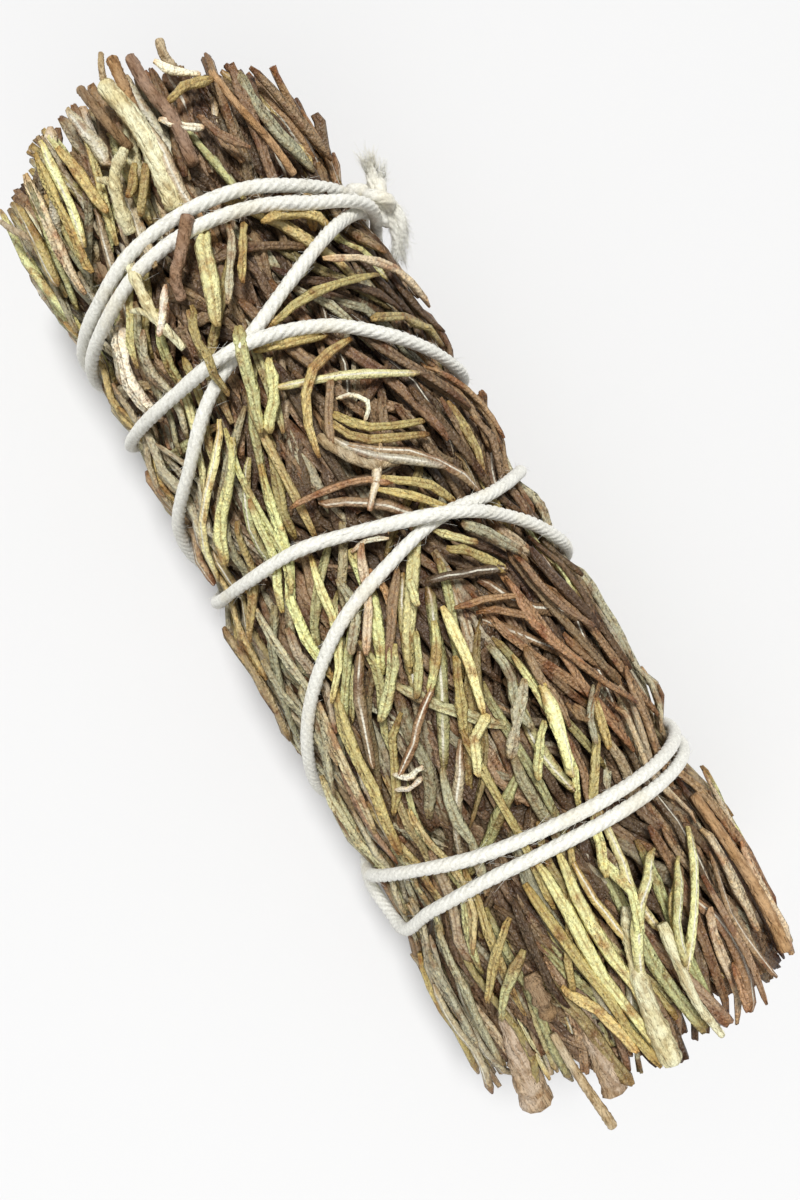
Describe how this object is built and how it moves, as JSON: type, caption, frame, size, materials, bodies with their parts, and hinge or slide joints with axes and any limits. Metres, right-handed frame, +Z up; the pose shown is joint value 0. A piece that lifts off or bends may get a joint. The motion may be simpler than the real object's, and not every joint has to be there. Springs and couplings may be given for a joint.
{
  "type": "dried rosemary bundle",
  "caption": "Dried rosemary sprigs packed into a thick roll and wound criss-cross with one white cotton string, trimmed at both ends.",
  "frame": {"origin": "middle of the underside, on the surface that the bundle lies on", "axes": "+X along the bundle towards its woody end, +Z up, the string's knot on the +Y side"},
  "size_m": [0.0998, 0.0388, 0.0329],
  "materials": {
    "cotton_string": "matt twisted cotton",
    "rosemary_grey_olive": "dried needles, dull and wrinkled",
    "rosemary_pale_green": "dried needles, dull and wrinkled",
    "rosemary_brown": "dried needles, dull and wrinkled",
    "rosemary_rust": "dried needles, dull and wrinkled",
    "woody_stem": "dry woody stem"
  },
  "bodies": {
    "root": {"string": "cotton_string", "outer_sprig_1_leaves": "rosemary_grey_olive", "outer_sprig_1_stem": "woody_stem", "outer_sprig_2_leaves": "rosemary_pale_green", "outer_sprig_2_stem": "woody_stem", "outer_sprig_3_leaves": "rosemary_pale_green", "outer_sprig_3_stem": "woody_stem", "outer_sprig_4_leaves": "rosemary_rust", "outer_sprig_4_stem": "woody_stem", "outer_sprig_5_leaves": "rosemary_brown", "outer_sprig_5_stem": "woody_stem", "outer_sprig_6_leaves": "rosemary_grey_olive", "outer_sprig_6_stem": "woody_stem", "outer_sprig_7_leaves": "rosemary_brown", "outer_sprig_7_stem": "woody_stem", "outer_sprig_8_leaves": "rosemary_grey_olive", "outer_sprig_8_stem": "woody_stem", "outer_sprig_9_leaves": "rosemary_pale_green", "outer_sprig_9_stem": "woody_stem", "inner_sprig_1_leaves": "rosemary_brown", "inner_sprig_1_stem": "woody_stem", "inner_sprig_2_leaves": "rosemary_grey_olive", "inner_sprig_2_stem": "woody_stem", "inner_sprig_3_leaves": "rosemary_brown", "inner_sprig_3_stem": "woody_stem"}
  },
  "joints": []
}
